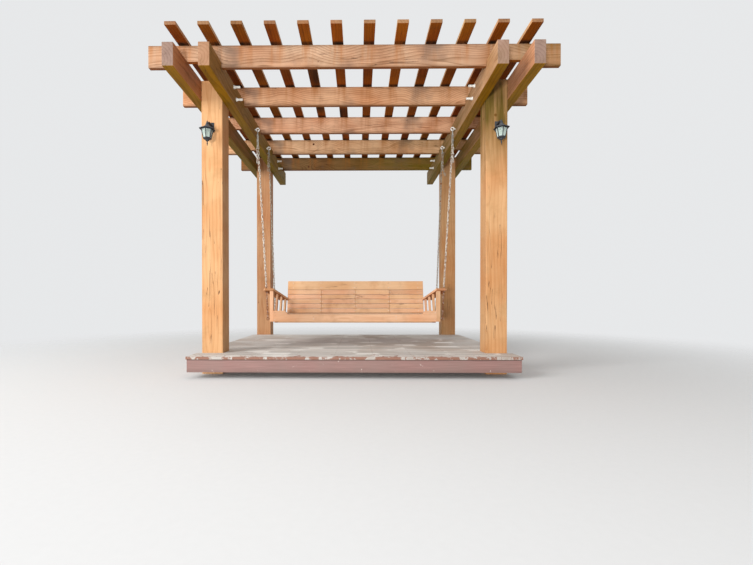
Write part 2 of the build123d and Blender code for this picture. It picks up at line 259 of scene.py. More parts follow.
def timber(name, along, stain, middle, rings_mm, pith_mm, knots_mm, bold, seed=0.0, row=None,
           row_axis=None, board_attribute=None, askew=0.0, arch=0.08, spread=0.12, marks=()):
    """Sawn and oil-stained softwood with its grain along one axis."""
    material, tree, here = new_material(name)
    facing = add(tree, "TexCoord", out="Normal")
    order = AXES[along]

    # Where this point lies in its own board, with the board's middle at zero
    centred = add(tree, "VectorMath", SUBTRACT, {0: here, 1: middle})
    if askew:
        centred = add(tree, "Mapping", None, {"Vector": centred, "Rotation": (0, 0, -radians(askew))})
    split = add(tree, "SeparateXYZ", inputs={0: centred}).node.outputs
    local = [split[0], split[1], split[2]]
    if row is not None:
        axis = "XYZ".index(row_axis)
        local[axis], chance = number_boards(tree, split[axis], (row[0] - middle[axis], row[1]), seed)
    elif board_attribute:
        chance = add(tree, "Attribute", {"attribute_name": board_attribute}, out="Color")
    else:
        chance = add(tree, "TexWhiteNoise", {"noise_dimensions": "1D"}, {"W": seed}, out="Color")

    # Each board is cut from its own place in the tree: metres along it, centimetres across it
    lot = add(tree, "SeparateXYZ", inputs={0: chance}).node.outputs
    run = add(tree, "Math", MULTIPLY_ADD, {0: lot[0], 1: RUN_SHIFT, 2: local[order[0]]})
    side = add(tree, "Math", MULTIPLY_ADD, {0: lot[1], 1: SIDE_SHIFT, 2: local[order[1]]})
    side = add(tree, "Math", ADD, {0: side, 1: pith_mm[0] * MM - SIDE_SHIFT / 2})
    deep = add(tree, "Math", MULTIPLY_ADD, {0: lot[2], 1: DEEP_SHIFT, 2: local[order[2]]})
    deep = add(tree, "Math", ADD, {0: deep, 1: pith_mm[1] * MM - DEEP_SHIFT / 2})
    grain = add(tree, "CombineXYZ", inputs={0: run, 1: side, 2: deep})

    knot, swirl = knots_in(tree, run, side, deep, knots_mm)
    band = growth_rings(tree, grain, run, side, deep, swirl, rings_mm, arch)
    crack = checks_along(tree, grain)

    # Fibres of a few millimetres, and broad streaks where stain took unevenly
    fibre = stretched_noise(tree, grain, (6.0, 190.0, 190.0), 2.0)
    streak = stretched_noise(tree, grain, (1.3, 17.0, 17.0), 3.0, 0.6)
    shade = add(tree, "Math", MULTIPLY, {0: band, 1: bold})
    shade = add(tree, "Math", MULTIPLY_ADD, {0: fibre, 1: 0.5, 2: shade})
    shade = add(tree, "Math", MULTIPLY_ADD, {0: streak, 1: 0.9, 2: shade})
    shade = add(tree, "Math", {"operation": "SUBTRACT", "use_clamp": True}, {0: shade, 1: 0.5})

    # The stain, patches a hand across where it is warmer, and a drift of value between boards
    wood, down = stain_by_face(tree, stain, facing, order[0], shade)
    patch = patches(tree, here, 2.6, 2.0, 0.42, 0.68, 0.55)
    wood = add(tree, "Mix", {"data_type": "RGBA", "blend_type": "MULTIPLY"},
               {"Factor": patch, 6: wood, 7: colour(stain["patch"])}, out=2)
    value = add(tree, "MapRange", None, {0: lot[2], 3: 1.0 - spread, 4: 1.0 + spread})
    hue = add(tree, "MapRange", None, {0: lot[0], 3: 0.492, 4: 0.506})
    wood = add(tree, "HueSaturation", None, {"Hue": hue, "Value": value, "Color": wood})

    # Knots, checks and dirt, then the marks of this timber alone
    dirt = patches(tree, here, 7.0, 5.0, 0.52, 0.8, 0.4, roughness=0.65)
    wood = lay_over(tree, wood, (knot, stain["knot"]), (crack, CRACK_BROWN), (dirt, stain["dirt"]))
    for mark in marks:
        wood = mark(tree, wood, split, streak, down)

    rough = add(tree, "MapRange", None, {0: shade, 3: 0.58, 4: 0.75})
    relief = add(tree, "Math", MULTIPLY_ADD, {0: fibre, 1: 0.8, 2: shade})
    relief = add(tree, "Math", MULTIPLY_ADD, {0: crack, 1: -3.0, 2: relief})
    finish_solid(tree, wood, rough, relief, 0.5, 0.8, {"Specular IOR Level": 0.12})
    return material


print("timber is cut along", ", ".join(AXES))

# %% Olive tint, eased edges and dressing
def olive_and_shade(axis, start, full, strength, tint="#685900"):
    """An olive tint that thickens along an axis, as a marking function; in places painted shade."""
    def mark(tree, wood, split, streak, down):
        amount = add(tree, "MapRange", None, {0: split[axis], 1: start, 2: full, 3: 0.0, 4: strength})
        ragged = add(tree, "MapRange", None, {0: streak, 1: 0.3, 2: 0.6, 3: 0.4, 4: 1.0})
        amount = add(tree, "Math", MULTIPLY, {0: amount, 1: ragged})
        return lay_over(tree, wood, (amount, tint))
    return mark


def soften(node, width_mm):
    """Ease the arrises of a timber: its loose triangles are welded, then its edges bevelled."""
    weld = node.modifiers.new("weld", "WELD")
    weld.merge_threshold = 0.05 * MM
    bevel = node.modifiers.new("eased arrises", "BEVEL")
    bevel.width = width_mm * MM
    bevel.segments = 2
    bevel.limit_method = "ANGLE"
    bevel.angle_limit = radians(35)


def dress(name, material):
    """Give a CAD node its finish."""
    node = frame["nodes"][name]
    node.material_slots[0].material = material
    return node


def middle_of(name):
    """The middle of a node's box."""
    low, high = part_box(name)
    return [(a + b) / 2 for a, b in zip(low, high)]


print("helpers ready, nodes:", len(frame["nodes"]))

# %% [markdown]
# ## Posts
# Four square fir posts, stained honey brown. They stand in full light and have faded most, so
# their colour runs from warm tan to pale orange, and their grain runs upright. The one at the
# rear right is darker, and the top of the front right one is olive and darker still: an olive
# tint with painted shade.

# %% Posts
POST_STAIN = {
    "face": ("#D0A276", "#AD784A"), "under": ("#B4702F", "#8A4E1C"), "top": ("#B79A7C", "#8E7358"),
    "end": ("#A98263", "#7C563A"), "patch": "#EBC7A4", "knot": "#7A3F20", "dirt": "#8C6A3E"}
DARKER_FACE = ("#C2966C", "#A06E44")
post_names = ["front_left_post", "front_right_post", "rear_left_post", "rear_right_post"]
for number, name in enumerate(post_names):
    stain = {**POST_STAIN, "face": DARKER_FACE} if name == "rear_right_post" else POST_STAIN
    # The front right post's top is olive, darkened as painted shade
    olive_tinting = [olive_and_shade(2, 0.45, 0.95, 1.0, "#5C4A1C")] if name == "front_right_post" else []
    finish = timber("oil_stained_fir_" + name, "Z", stain, middle_of(name), seed=3.1 + number,
                    rings_mm=30, pith_mm=(60, 70), knots_mm=560 - 20 * number, bold=0.36, arch=0.12,
                    marks=olive_tinting)
    soften(dress(name, finish), 5)
print("posts dressed:", len(post_names))

# %% [markdown]
# ## Roof timbers
# The carriers run front to back and the cross beams left to right. Both are a browner stain than
# the posts, with thin arches of dark late wood on the beams. Rain leaves its marks, and some light
# and shade is painted in:
# - The rafters keep their deep orange underneath, set darker as painted shade, with a black line
#   right beside each beam: painted contact shadow over black mildew.
# - Yellow-brown drips run down the beams below the rafters, and the beams' edges are dark.
# - The carriers are golden olive underneath, and an olive tint spreads over them towards the rear.
# - The third and fourth beams are lighter as painted light, and the front beam's right end is
#   olive and darker as painted shadow.
# Each kind of mark is a small function that repaints the wood, so any timber can take it.

# %% Marks of rain, and painted contact shadow
BEAM_PITCH = 0.7
HALF_BEAM_HIGH = 0.092
RAFTER_WIDE = 0.089
low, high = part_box("rafters")
RAFTER_PITCH = (high[0] - low[0] - RAFTER_WIDE) / 11
# Wet spots: which rafter, counted from the middle, then its Y and its reach along the rafter
WET_SPOTS = ((-1.5, -1.0, 0.36), (-1.5, -0.38, 0.30), (-0.5, -0.10, 0.22))
# The rafters' black is painted contact shadow over mildew beside the beams, and water marks on the wet spots
MILDEW_AND_SHADOW_BLACK, DRIP_BROWN, DAMP_GREY, EDGE_BROWN = "#1C0F07", "#9A5A1E", "#5F534C", "#5A3A22"


def black_beside_beams(tree, wood, split, streak, down):
    """Black on the rafters: painted contact shadow over mildew by each beam, water marks where wet."""
    near = add(tree, "Math", {"operation": "PINGPONG"}, {0: split[1], 1: BEAM_PITCH / 2})
    near = add(tree, "MapRange", SMOOTH, {0: near, 1: 0.085, 2: 0.042, 3: 0.0, 4: 1.0})
    place = add(tree, "CombineXYZ", inputs={0: split[0], 1: split[1]})
    for rafter, y, reach in WET_SPOTS:
        spot = (rafter * RAFTER_PITCH, y, 0)
        offset = add(tree, "VectorMath", SUBTRACT, {0: place, 1: spot})
        offset = add(tree, "VectorMath", DIVIDE, {0: offset, 1: (0.13, reach, 1)})
        away = add(tree, "VectorMath", {"operation": "LENGTH"}, {0: offset}, out="Value")
        wet = add(tree, "MapRange", SMOOTH, {0: away, 1: 1.0, 2: 0.45, 3: 0.0, 4: 0.85})
        near = add(tree, "Math", {"operation": "MAXIMUM"}, {0: near, 1: wet})
    ragged = add(tree, "MapRange", None, {0: streak, 1: 0.3, 2: 0.6, 3: 0.55, 4: 1.0})
    below = add(tree, "MapRange", None, {0: down, 3: 0.25, 4: 1.0})
    for part in (ragged, below):
        near = add(tree, "Math", MULTIPLY, {0: near, 1: part})
    return lay_over(tree, wood, (near, MILDEW_AND_SHADOW_BLACK))


def drips_from_rafters(tree, wood, split, streak, down):
    """Yellow-brown drips on a beam below each rafter, grey damp patches, and dark edges."""
    near = add(tree, "Math", ADD, {0: split[0], 1: RAFTER_PITCH / 2})
    near = add(tree, "Math", {"operation": "PINGPONG"}, {0: near, 1: RAFTER_PITCH / 2})
    near = add(tree, "MapRange", SMOOTH, {0: near, 1: 0.09, 2: 0.03})
    place = add(tree, "CombineXYZ", inputs={0: split[0], 1: 0.0, 2: split[2]})
    drip = stretched_noise(tree, place, (24.0, 1.0, 2.0), 2.0)
    drip = add(tree, "MapRange", None, {0: drip, 1: 0.4, 2: 0.62})
    fall = add(tree, "MapRange", None,
               {0: split[2], 1: -HALF_BEAM_HIGH, 2: HALF_BEAM_HIGH, 3: 0.1, 4: 0.6})
    for part in (drip, fall):
        near = add(tree, "Math", MULTIPLY, {0: near, 1: part})
    damp = patches(tree, place, 2.4, 3.0, 0.56, 0.68, 0.55)
    edge = add(tree, "Math", {"operation": "ABSOLUTE"}, {0: split[2]})
    edge = add(tree, "MapRange", None, {0: edge, 1: 0.070, 2: HALF_BEAM_HIGH, 3: 0.0, 4: 0.5})
    return lay_over(tree, wood, (near, DRIP_BROWN), (damp, DAMP_GREY), (edge, EDGE_BROWN))


print("rafters lie", round(RAFTER_PITCH * 1000, 1), "mm apart")

# %% Roof timbers
BEAM_STAIN = {
    "under": ("#A8682C", "#70400F"), "top": ("#A58F7A", "#7C6753"),
    "end": ("#C08E6C", "#8E5F42"), "patch": "#D9AE84", "knot": "#4E2716", "dirt": "#5B3A24"}
CARRIER_STAIN = {
    "under": ("#966C00", "#5E4300"), "top": ("#A08B74", "#78644F"),
    "patch": "#CDBB84", "knot": "#4B2A12", "dirt": "#55491A"}
OUTER_END_TONES = ("#90786A", "#6A544A")
# The tones of each carrier's faces and ends; the outer carriers' dark end tones are partly painted shade
CARRIER_FACES = {
    "left_outer_carrier": (("#D69664", "#9A633C"), OUTER_END_TONES),
    "left_inner_carrier": (("#A87E42", "#6C4E22"), ("#A37F62", "#7C593B")),
    "right_inner_carrier": (("#C8A27A", "#8E6642"), ("#A38877", "#7C5F47")),
    "right_outer_carrier": (("#C6926C", "#885638"), OUTER_END_TONES)}
# The rafters' under tones are deep orange, set darker as painted shade beneath the roof
RAFTER_STAIN = {
    "face": ("#D2A878", "#94663E"), "under": ("#8E4C04", "#582A00"), "top": ("#B2A08C", "#857464"),
    "end": ("#94704F", "#6C4A30"), "patch": "#DB9C60", "knot": "#4A1E0A", "dirt": "#1E0E06"}
# From the front beam to the rear one: its two tones, and how strong the olive tint on it is.
# The third and fourth are lighter as painted light, making up for the shade of the beams in front
BEAM_FACES = (
    (("#BE9E80", "#765A3E"), 0.35), (("#D2A682", "#865A3A"), 0.1), (("#EBBE98", "#A47450"), 0.1),
    (("#EBBE98", "#A47450"), 0.3), (("#8A6640", "#4C341C"), 0.9))
for number, (face, olive_tinting) in enumerate(BEAM_FACES):
    name = "cross_beam_" + str(number + 1)
    # On the front beam the olive starts at x 1.0: painted shadow over its right end
    start = 1.0 if number == 0 else -0.6
    finish = timber("stained_fir_" + name, "X", {**BEAM_STAIN, "face": face}, middle_of(name),
                    seed=11.3 + number, rings_mm=18, pith_mm=(10 + 8 * number, 45), knots_mm=560,
                    bold=0.6, arch=0.3, marks=[drips_from_rafters, olive_and_shade(0, start, 1.5, olive_tinting)])
    soften(dress(name, finish), 3)
for number, (name, (face, end)) in enumerate(CARRIER_FACES.items()):
    stain = {**CARRIER_STAIN, "face": face, "end": end}
    finish = timber("olive_dulled_fir_" + name, "Y", stain, middle_of(name), seed=23.7 + number,
                    rings_mm=25, pith_mm=(80, 50), knots_mm=560, bold=0.4,
                    marks=[olive_and_shade(1, -1.4, 0.6, 0.85)])
    soften(dress(name, finish), 5)
finish = timber("orange_stained_rafters", "Y", RAFTER_STAIN, middle_of("rafters"), seed=41.0,
                row=(low[0] + RAFTER_WIDE / 2 - RAFTER_PITCH / 2, RAFTER_PITCH), row_axis="X",
                rings_mm=22, pith_mm=(60, 30), knots_mm=600, bold=0.4, marks=[black_beside_beams])
soften(dress("rafters", finish), 2)
print("roof timbers dressed:", len(BEAM_FACES) + len(CARRIER_FACES) + 1)

# %% [markdown]
# ## Bench timbers
# The bench is planed softwood, lighter and finer than the frame, with small knots and a soft
# sheen. Its back is one wide board over five narrow ones, and the narrow rows are made of short
# boards butted over the supports, which shows as three upright seams.

# %% Bench timbers
# The pale top tones are partly painted sunlight on the seat
BENCH_STAIN = {
    "face": ("#DBB28E", "#B58863"), "under": ("#A8672E", "#7A4518"), "top": ("#F8DCBC", "#DDB48C"),
    "end": ("#B4825A", "#875A38"), "patch": "#F0CBA6", "knot": "#6A3518", "dirt": "#8C5E38"}
TOE_IN = 8.4
BENCH_GRAIN = {"stain": BENCH_STAIN, "knots_mm": 480, "bold": 0.35}
bench_singles = (
    ("bench_front_rail", "X", 0), ("bench_front_beam", "X", 0), ("bench_rear_beam", "X", 0),
    ("bench_side_rails", "Y", 0), ("bench_left_arm", "Y", -TOE_IN), ("bench_right_arm", "Y", TOE_IN))
for number, (name, along, askew) in enumerate(bench_singles):
    finish = timber("planed_fir_" + name, along, middle=middle_of(name), seed=56.9 + number,
                    spread=0.05, rings_mm=13, pith_mm=(50, 30), askew=askew, **BENCH_GRAIN)
    soften(dress(name, finish), 3)


def evenly(name, axis, count, gap):
    """The start and pitch of like boards that share a node and lie a gap apart."""
    low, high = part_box(name)
    return low[axis] - gap / 2, (high[axis] - low[axis] + gap) / count


# Each row of like boards: its grain, the axis it is set out along, and its start and pitch there
SEAT_SLATS, SEAT_GAP = 7, 0.0075
UPRIGHTS = ("Z", "Y", (-0.3689, 0.1464))
bench_rows = {
    "bench_seat_slats": ("X", "Y", evenly("bench_seat_slats", 1, SEAT_SLATS, SEAT_GAP)),
    "bench_joists": ("Y", "X", (-0.70, 0.49)),
    "bench_back_supports": ("Z", "X", (-0.975, 0.39)),
    "bench_left_uprights": UPRIGHTS,
    "bench_right_uprights": UPRIGHTS}
for number, (name, (along, across, row)) in enumerate(bench_rows.items()):
    finish = timber("planed_fir_" + name, along, middle=middle_of(name), seed=61.3 + 10 * number,
                    row=row, row_axis=across, spread=0.05, rings_mm=12, pith_mm=(45, 30), **BENCH_GRAIN)
    soften(dress(name, finish), 2)
print("bench timbers dressed:", len(bench_singles) + len(bench_rows))

# %% [markdown]
# ## Turning a bmesh into a piece
# New pieces are modelled in a bmesh, a bag of vertices and faces that Blender's modelling
# operators work on. One function ends each piece: its faces are pointed outwards, and it is
# handed to the body that it moves with. Doubles are merged before that, where a shape is spun.

# %% Piece helpers
def as_mesh(bm, name):
    """Turn a bmesh into a mesh, and let the bmesh go."""
    mesh = bpy.data.meshes.new(name)
    bm.to_mesh(mesh)
    bm.free()
    return mesh


def make_piece(bm, name, body, material, smooth=35, instead_of=()):
    """Turn a bmesh into a finished piece that rides on a body."""
    bmesh.ops.recalc_face_normals(bm, faces=bm.faces)
    mesh = as_mesh(bm, name)
    mesh.materials.append(material)
    if smooth:
        mesh.shade_smooth()
        mesh.set_sharp_from_angle(angle=radians(smooth))
    piece = bpy.data.objects.new(name, mesh)
    bpy.context.collection.objects.link(piece)
    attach(piece, body)
    if instead_of:
        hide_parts(*instead_of)
    print(name, "has", len(mesh.polygons), "faces")


def template(build, *sizes):
    """Model a small shape once, as a mesh that can be stamped many times."""
    bm = bmesh.new()
    build(bm, *sizes)
    return as_mesh(bm, "template")


def stamp(bm, mesh, matrix):
    """Add a copy of a template at a place."""
    known = len(bm.verts)
    bm.from_mesh(mesh)
    bm.verts.ensure_lookup_table()
    bmesh.ops.transform(bm, matrix=matrix, verts=bm.verts[known:])


print("templates can be stamped")

# %% [markdown]
# ## Placing and shaping
# A stamp is placed by a product of matrices, read from the right: first the shape is turned,
# then it is moved. Round parts are lathed: half of their outline is drawn once as points of
# radius and height and spun round the Z axis. With six steps the same spin makes a hexagon.

# %% Placing and shaping helpers
DOUBLES = 0.01 * MM


def move(x, y, z):
    """A shift as a matrix."""
    return Matrix.Translation((x, y, z))


def turn(degrees, axis):
    """A turn about X, Y or Z as a matrix."""
    return Matrix.Rotation(radians(degrees), 4, axis)


def mirror_x(side):
    """A matrix that flips a shape to the left side when side is -1."""
    return Matrix.Diagonal((side, 1, 1, 1))


def upright_to(line):
    """The turn that brings the Z axis onto a line."""
    return line.to_track_quat("Z", "Y").to_matrix().to_4x4()


def lathe(bm, profile, steps, matrix=None):
    """Spin a profile of (radius, height) points round the Z axis."""
    rim = [bm.verts.new((radius, 0, height)) for radius, height in profile]
    edges = [bm.edges.new(pair) for pair in zip(rim, rim[1:])]
    known = set(bm.verts) - set(rim)
    bmesh.ops.spin(bm, geom=rim + edges, cent=(0, 0, 0), axis=(0, 0, 1), angle=2 * pi, steps=steps,
                   use_merge=True)
    made = [v for v in bm.verts if v not in known]
    bmesh.ops.remove_doubles(bm, verts=made, dist=DOUBLES)
    if matrix is not None:
        made = [v for v in bm.verts if v not in known]
        bmesh.ops.transform(bm, matrix=matrix, verts=made)


def bar(bm, size, matrix, ease):
    """A rectangular bar with eased edges, centred on the matrix."""
    made = bmesh.ops.create_cube(bm, size=1.0)["verts"]
    bmesh.ops.scale(bm, vec=size, verts=made)
    edges = list({e for v in made for e in v.link_edges})
    made = bmesh.ops.bevel(bm, geom=edges, offset=ease, segments=2, profile=0.5, affect="EDGES",
                           material=-1)["verts"]
    bmesh.ops.transform(bm, matrix=matrix, verts=list(set(made)))


def points_of(geometry):
    """The vertices among what an operator made."""
    return [v for v in geometry if isinstance(v, bmesh.types.BMVert)]


print("doubles closer than", DOUBLES / MM, "mm are merged")

# %% [markdown]
# ## Galvanised steel and rust
# Chain, eye bolts and through-bolts are hot-dip galvanised: a soft grey with a mottled spangle
# and chalky white bloom. Where the chain rubs, below the arms, the zinc has gone and the steel is
# brown with rust, which is not a metal to the eye, so the rust share drives the metallic value.

# %% Metal materials
SPANGLE_MM = 4


def galvanised(name, rust_share, shine, tone, metallic, chalk=0.6):
    """Weathered hot-dip zinc with a share of rust; where it has rusted, it is less metallic."""
    material, tree, here = new_material(name)
    spangle = add(tree, "TexVoronoi", None, {"Vector": here, "Scale": 1000 / SPANGLE_MM}, out="Color")
    spangle = add(tree, "SeparateXYZ", inputs={0: spangle})
    spangle = add(tree, "MapRange", None, {0: spangle, 3: 0.0, 4: 0.35})
    bloom = patches(tree, here, 60.0, 4.0, 0.5, 0.7, chalk)
    zinc = lay_over(tree, colour(tone), (spangle, "#8C8E8A"), (bloom, "#DAD8CF"))
    spread = add(tree, "TexNoise", None, {"Vector": here, "Scale": 45.0, "Detail": 5.0, "Roughness": 0.7})
    edge = 0.78 - 0.5 * rust_share
    rust = add(tree, "MapRange", None, {0: spread, 1: edge - 0.06, 2: edge + 0.06})
    brown = add(tree, "TexNoise", None, {"Vector": here, "Scale": 140.0, "Detail": 3.0})
    brown = lay_over(tree, colour("#4A2A1A"), (brown, "#9C6036"))
    surface = lay_over(tree, zinc, (rust, brown))
    metal = add(tree, "Math", MULTIPLY_ADD, {0: rust, 1: -metallic, 2: metallic})
    rough = add(tree, "Math", MULTIPLY_ADD, {0: bloom, 1: 0.25, 2: shine})
    rough = add(tree, "Math", MULTIPLY_ADD, {0: rust, 1: 0.35, 2: rough})
    finish_solid(tree, surface, rough, spread, 0.4, 0.3, {"Metallic": metal})
    return material


bright_zinc = galvanised("hot_dip_zinc", 0.0, 0.42, "#F6F5F0", 0.2)
dull_zinc = galvanised("dull_zinc_fittings", 0.15, 0.5, "#A9AAA4", 0.6, chalk=0.4)
# The rear chains take a darker, duller copy of the chain zinc: painted shade
shaded_zinc = galvanised("shaded_grey_zinc_chain", 0.5, 0.55, "#A4A090", 0.4, chalk=0.3)
chain_zinc = galvanised("weathered_zinc_chain", 0.45, 0.5, "#D6D0C4", 0.4)
rusty_zinc = galvanised("rust_worn_chain", 0.7, 0.55, "#D2C2B8", 0.3)
print("metals:", bright_zinc.name, chain_zinc.name, rusty_zinc.name)

# %% [markdown]
# ## Chain links
# A link is a ring of round wire pulled long. The ring is a small circle spun once round the Y
# axis in eight steps; then its upper half moves up and its lower half down, which leaves two
# straight sides. One link has 48 faces, because nearly three hundred hang here.

# %% Chain link
WIRE = 0.0072
LINK_PITCH = 0.0315
LINK_HALF_WIDE = 0.0118
TWIST, MOST_TWIST = 8, 40


def ring_of_wire(bm, radius, wire, steps, sides):
    """A closed ring of round wire in the XZ plane, with no joint on its middle line."""
    start = turn(-180 / steps, "Y") @ move(radius, 0, 0)
    made = bmesh.ops.create_circle(bm, segments=sides, radius=wire / 2, matrix=start)["verts"]
    edges = list({e for v in made for e in v.link_edges})
    bmesh.ops.spin(bm, geom=made + edges, cent=(0, 0, 0), axis=(0, 1, 0), angle=2 * pi, steps=steps,
                   use_merge=True)


def long_link(bm, pitch, half_wide, wire, steps=8, sides=6):
    """A link whose bearing points are one pitch apart, along Z."""
    radius = half_wide - wire / 2
    ring_of_wire(bm, radius, wire, steps, sides)
    pull = pitch / 2 - (radius - wire / 2)
    for sign in (1, -1):
        half = [v for v in bm.verts if v.co.z * sign > 0.0]
        bmesh.ops.translate(bm, vec=(0, 0, sign * pull), verts=half)


def hang_chain(bm, link, top, bottom, first_turn):
    """Stamp links from one bearing point down to another, each a quarter turn and a little on."""
    top, bottom = Vector(top), Vector(bottom)
    line = top - bottom
    count = round(line.length / LINK_PITCH)
    grown = Matrix.Diagonal((1, 1, line.length / count / LINK_PITCH, 1))
    for number in range(count):
        middle = top.lerp(bottom, (number + 0.5) / count)
        angle = first_turn + 90 * number + min(TWIST * number, MOST_TWIST)
        stamp(bm, link, move(*middle) @ upright_to(line) @ turn(angle, "Z") @ grown)
    return count


link = template(long_link, LINK_PITCH, LINK_HALF_WIDE, WIRE)
print("one link has", len(link.polygons), "faces")

# %% [markdown]
# ## Nuts, washers and threads
# A nut is a hexagon pulled up into a prism with its upper corners bevelled. A threaded rod is
# a zigzag line spun round: true threads wind like a stair, but at 2 mm apart rings look the same.

# %% Small steel parts
def hex_nut(bm, across, thick, matrix):
    """A hexagon nut with chamfered corners, its axis along Z from the face at zero."""
    radius = across / 2 / cos(pi / 6)
    base = bmesh.ops.create_circle(bm, cap_ends=True, segments=6, radius=radius)["verts"]
    grown = bmesh.ops.extrude_face_region(bm, geom=list(base[0].link_faces))["geom"]
    raised = points_of(grown)
    bmesh.ops.translate(bm, vec=(0, 0, thick), verts=raised)
    rim = [e for e in grown if isinstance(e, bmesh.types.BMEdge)]
    cut = bmesh.ops.bevel(bm, geom=rim, offset=thick * 0.14, segments=1, profile=0.5, affect="EDGES",
                          material=-1)["verts"]
    every = {v for v in (*base, *cut, *raised) if v.is_valid}
    bmesh.ops.transform(bm, matrix=matrix, verts=list(every))


def threaded_rod(bm, radius, start, end, matrix, pitch=0.002):
    """A threaded rod along Z with a chamfered end."""
    profile = [(0, start), (radius * 0.85, start), (radius, start + pitch)]
    for number in range(int((end - start - 2 * pitch) / pitch)):
        level = start + pitch * (number + 1)
        profile += [(radius, level + pitch * 0.3), (radius * 0.86, level + pitch * 0.65)]
    profile += [(radius, end - pitch), (radius * 0.8, end), (0, end)]
    lathe(bm, profile, 12, matrix)


def washer(bm, radius, thick, matrix):
    """A plain washer with rounded rims, lying on the face at zero."""
    profile = [(0, 0), (radius, 0), (radius, thick * 0.7), (radius - thick * 0.3, thick), (0, thick)]
    lathe(bm, profile, 20, matrix)


print("nut, rod and washer ready")

# %% [markdown]
# ## How each chain hangs
# A bow shackle hangs in the eye of each roof bolt, closed by a pin with a nut at each end. At
# the front a long quick link follows and carries the chain; at the rear the chain sits on the
# pin. The spare end hangs just in front of the chain, so that the two look like one thick chain.

# %% Shackle and quick link
BAR = 0.008
BOW = 0.0135
PIN_REACH = 0.027
PIN_NUT = 0.014
SHACKLE_INSIDE = 0.055
QUICK_INSIDE = 0.115
QUICK_HALF_WIDE = 0.0135
QUICK_BAR = 0.008
QUICK_TURN = 40
SLEEVE_WIDE, SLEEVE_LONG = 0.0125, 0.030


def bow_shackle(bm):
    """A bow of round bar with eared ends and a pin; the bow's middle is at the origin."""
    start = bmesh.ops.create_circle(bm, segments=8, radius=BAR / 2, matrix=move(BOW, 0, 0))["verts"]
    edges = list({e for v in start for e in v.link_edges})
    ends = bmesh.ops.spin(bm, geom=start + edges, cent=(0, 0, 0), axis=(0, 1, 0), angle=-pi, steps=8)
    far = [e for e in ends["geom_last"] if isinstance(e, bmesh.types.BMEdge)]
    pin_level = BOW - BAR / 2 - SHACKLE_INSIDE
    for rim in (edges, far):
        lower = points_of(bmesh.ops.extrude_edge_only(bm, edges=rim)["geom"])
        bmesh.ops.translate(bm, vec=(0, 0, pin_level), verts=lower)
    bmesh.ops.holes_fill(bm, edges=[e for e in bm.edges if e.is_boundary], sides=0)
    ear_half = 0.0045
    ear = [(0, -ear_half), (0.0085, -ear_half), (0.0095, 0), (0.0085, ear_half), (0, ear_half)]
    for side in (BOW, -BOW):
        lathe(bm, ear, 14, move(side, 0, pin_level) @ turn(90, "Y"))
    threaded_rod(bm, BAR / 2, -PIN_REACH, PIN_REACH, move(0, 0, pin_level) @ turn(90, "Y"))
    hex_nut(bm, PIN_NUT, 0.006, move(BOW + ear_half, 0, pin_level) @ turn(90, "Y"))
    hex_nut(bm, PIN_NUT, 0.005, move(-BOW - ear_half, 0, pin_level) @ turn(-90, "Y"))


def quick_link(bm):
    """A long oval link closed by a hexagon sleeve on one side."""
    long_link(bm, QUICK_INSIDE, QUICK_HALF_WIDE, QUICK_BAR, steps=16, sides=8)
    hex_nut(bm, SLEEVE_WIDE, SLEEVE_LONG, move(QUICK_HALF_WIDE - QUICK_BAR / 2, 0, -0.013))


shackle = template(bow_shackle)
quick = template(quick_link)
joints = {joint["name"]: joint["pos_m"] for joint in frame["joints"]}
EYE_REACH = 0.030
EYE_RADIUS, EYE_BAR = 0.0165, 0.012
BENCH_EYE_RADIUS, BENCH_EYE_BAR = 0.0135, 0.008
BENCH_EYE_LEVEL = 0.4625
RING_BEARING = BENCH_EYE_LEVEL + BENCH_EYE_RADIUS - BENCH_EYE_BAR / 2
face_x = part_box("roof_eye_bolts")[1][0]
eye_x = face_x - EYE_REACH
print("eyes at x", round(eye_x, 4), "lower chains end at z", round(RING_BEARING, 4))

# %% [markdown]
# ## The four chains
# Everything between an eye and the bench is made for the right side and copied to the left by
# a mirror matrix. The sides differ in one thing: the right rear spare end is longer, and has
# slipped outwards.

# %% Hang the chains
ARM_X = 0.975
REAR_RING_X = 0.990
SPARE_AHEAD = 0.013


def spare_end(bm, top, count, first_turn, side, slip):
    """A few links that hang free; the last three may slip sideways, by some degrees a link."""
    place = Vector(top)
    for number in range(count):
        lean = turn(-side * slip * max(0, number - count + 4), "Y")
        step = lean @ Vector((0, 0, -LINK_PITCH))
        stamp(bm, link, move(*(place + step / 2)) @ lean @ turn(first_turn + 90 * number, "Z"))
        place = place + step


def hang_pair(joint, name, with_quick, spares, low_x, low_level, finish):
    """One pair of chains with shackles, quick links and spare ends, as two pieces."""
    wire_y, wire_z = joints[joint][1:]
    chains, fittings = bmesh.new(), bmesh.new()
    shackle_z = wire_z + EYE_BAR / 2 - (BOW - BAR / 2)
    pin_top = shackle_z + BOW - SHACKLE_INSIDE
    for side, (spare_count, slip) in zip((-1, 1), spares):
        stamp(fittings, shackle, move(side * eye_x, wire_y, shackle_z) @ turn(90, "Z"))
        if with_quick:
            start, first = pin_top - QUICK_INSIDE, 90
            stamp(fittings, quick, move(side * eye_x, wire_y, pin_top - QUICK_INSIDE / 2)
                  @ mirror_x(side) @ turn(QUICK_TURN, "Z"))
            top = (side * (eye_x - 0.002), wire_y, start)
            spare_x = side * (eye_x + 0.003)
        else:
            start, first = pin_top, 0
            top = (side * eye_x, wire_y + 0.002, start)
            spare_x = side * (eye_x + 0.006)
        count = hang_chain(chains, link, top, (side * low_x, wire_y, low_level), first)
        spare_end(chains, (spare_x, wire_y - SPARE_AHEAD, start), spare_count, first, side, slip)
        print(name, "has", count, "links and", spare_count, "spare")
    make_piece(chains, name + "_links", name + "_pair", finish, smooth=60,
               instead_of=(name + "s",))
    make_piece(fittings, name + "_shackles", name + "_pair", dull_zinc)


